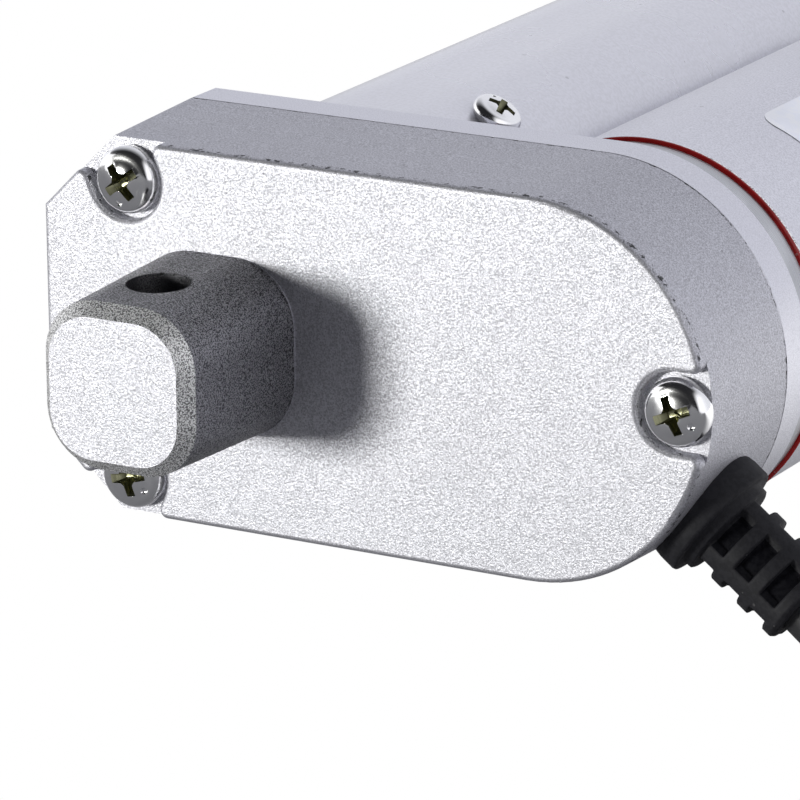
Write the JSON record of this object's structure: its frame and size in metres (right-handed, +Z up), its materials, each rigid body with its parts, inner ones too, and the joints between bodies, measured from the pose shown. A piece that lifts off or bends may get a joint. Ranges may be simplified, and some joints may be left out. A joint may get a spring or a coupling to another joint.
{
  "type": "electric linear actuator",
  "caption": "Electric linear actuator: a motor beside a lead-screw tube on a flat gearbox with a pinned clevis, an extending rod with a cross hole, and a cable.",
  "frame": {"origin": "centre of the rear clevis hole", "axes": "+Y along the rod as it extends, +X from the rod towards the motor, +Z up along the clevis hole"},
  "size_m": [0.1134, 0.2238, 0.11],
  "materials": {
    "cast_zinc": "pale grey-lavender powder coat with a sandy grain, over die-cast metal",
    "painted_tube": "smooth glossy light grey coat",
    "silver_motor_tube": "silver grained coat",
    "red_gasket": "glossy dark red rubber",
    "bright_screw": "bright plated steel",
    "black_rubber": "matt black rubber",
    "cable_jacket": "matt black jacket",
    "tie_fabric": "black hook-and-loop band",
    "lead_wire": "insulated leads with tinned ends",
    "black_plastic": "black moulded plastic",
    "gear_nylon": "off-white moulded nylon",
    "nut_acetal": "white moulded acetal",
    "ground_steel": "turned steel",
    "spring_steel": "dark spring steel",
    "bearing_steel": "ground bearing steel",
    "rod_steel": "polished stainless steel",
    "rod_aluminium": "turned aluminium",
    "bush_bronze": "sintered bronze",
    "terminal_brass": "brass strip",
    "motor_steel": "plated steel",
    "copper_wire": "enamelled copper",
    "brush_carbon": "carbon",
    "magnet_ferrite": "ferrite",
    "circuit_board": "green laminate"
  },
  "bodies": {
    "housing": {"rear_cover": "cast_zinc", "front_plate": "cast_zinc", "cover_screws": "bright_screw", "outer_tube": "painted_tube", "tube_screws": "bright_screw", "front_cap": "painted_tube", "rod_bush": "bush_bronze", "rod_wiper": "black_rubber", "motor_gasket": "red_gasket", "motor_tube": "silver_motor_tube", "motor_end_cap": "black_plastic", "tie_bolts": "bright_screw", "idler_pin": "ground_steel", "screw_bush": "bush_bronze", "bearing_outer_ring": "bearing_steel", "bearing_retainer": "spring_steel", "motor_can": "motor_steel", "motor_bushes": "bush_bronze", "motor_end_bell": "black_plastic", "motor_terminals": "terminal_brass", "motor_brushes": "brush_carbon", "motor_magnets": "magnet_ferrite", "motor_screws": "bright_screw", "switch_strip": "circuit_board", "limit_switches": "black_plastic", "cable_gland": "black_rubber", "cable": "cable_jacket", "cable_coil": "cable_jacket", "coil_tie": "tie_fabric", "cable_tail": "cable_jacket", "cable_leads": "lead_wire"},
    "rotor": {"armature_core": "motor_steel", "armature_windings": "copper_wire", "commutator": "copper_wire", "motor_shaft": "ground_steel", "motor_pinion": "ground_steel"},
    "idler": {"idler_wheel": "gear_nylon", "idler_pinion": "ground_steel"},
    "screw": {"lead_screw": "ground_steel", "screw_gear": "gear_nylon", "screw_key": "ground_steel", "screw_clip": "spring_steel", "screw_spacer": "ground_steel", "bearing_inner_ring": "bearing_steel"},
    "cage": {"bearing_balls": "bearing_steel", "bearing_cage": "black_plastic"},
    "rod": {"drive_nut": "nut_acetal", "extension_rod": "rod_steel", "rod_pins": "ground_steel", "rod_end": "rod_aluminium"},
    "rear_plunger": {"rear_plunger": "nut_acetal"},
    "front_plunger": {"front_plunger": "nut_acetal"}
  },
  "joints": [
    {"name": "motor_spin", "type": "hinge", "parent": "housing", "child": "rotor", "pos_m": [0.0354, 0, 0], "axis": [0, -1, 0], "range_deg": [0, 82280]},
    {"name": "idler_spin", "type": "hinge", "parent": "housing", "child": "idler", "pos_m": [0.0168, 0, 0], "axis": [0, -1, 0], "range_deg": [-24000, 0]},
    {"name": "screw_spin", "type": "hinge", "parent": "housing", "child": "screw", "pos_m": [0, 0, 0], "axis": [0, -1, 0], "range_deg": [0, 12000]},
    {"name": "cage_spin", "type": "hinge", "parent": "housing", "child": "cage", "pos_m": [0, 0, 0], "axis": [0, -1, 0], "range_deg": [0, 4420]},
    {"name": "rod_slide", "type": "slide", "parent": "housing", "child": "rod", "axis": [0, 1, 0], "range_m": [0, 0.1]},
    {"name": "rear_plunger_press", "type": "slide", "parent": "housing", "child": "rear_plunger", "axis": [0, -1, 0], "range_m": [0, 0.0006], "stiffness_N_per_m": 200},
    {"name": "front_plunger_press", "type": "slide", "parent": "housing", "child": "front_plunger", "axis": [0, 1, 0], "range_m": [0, 0.0006], "stiffness_N_per_m": 200}
  ],
  "couplings": [
    {"joint": "idler_spin", "follows": "motor_spin", "ratio": -0.29167},
    {"joint": "screw_spin", "follows": "motor_spin", "ratio": 0.14583},
    {"joint": "cage_spin", "follows": "motor_spin", "ratio": 0.053619},
    {"joint": "rod_slide", "follows": "motor_spin", "m_per_rad": 0.00006963}
  ]
}
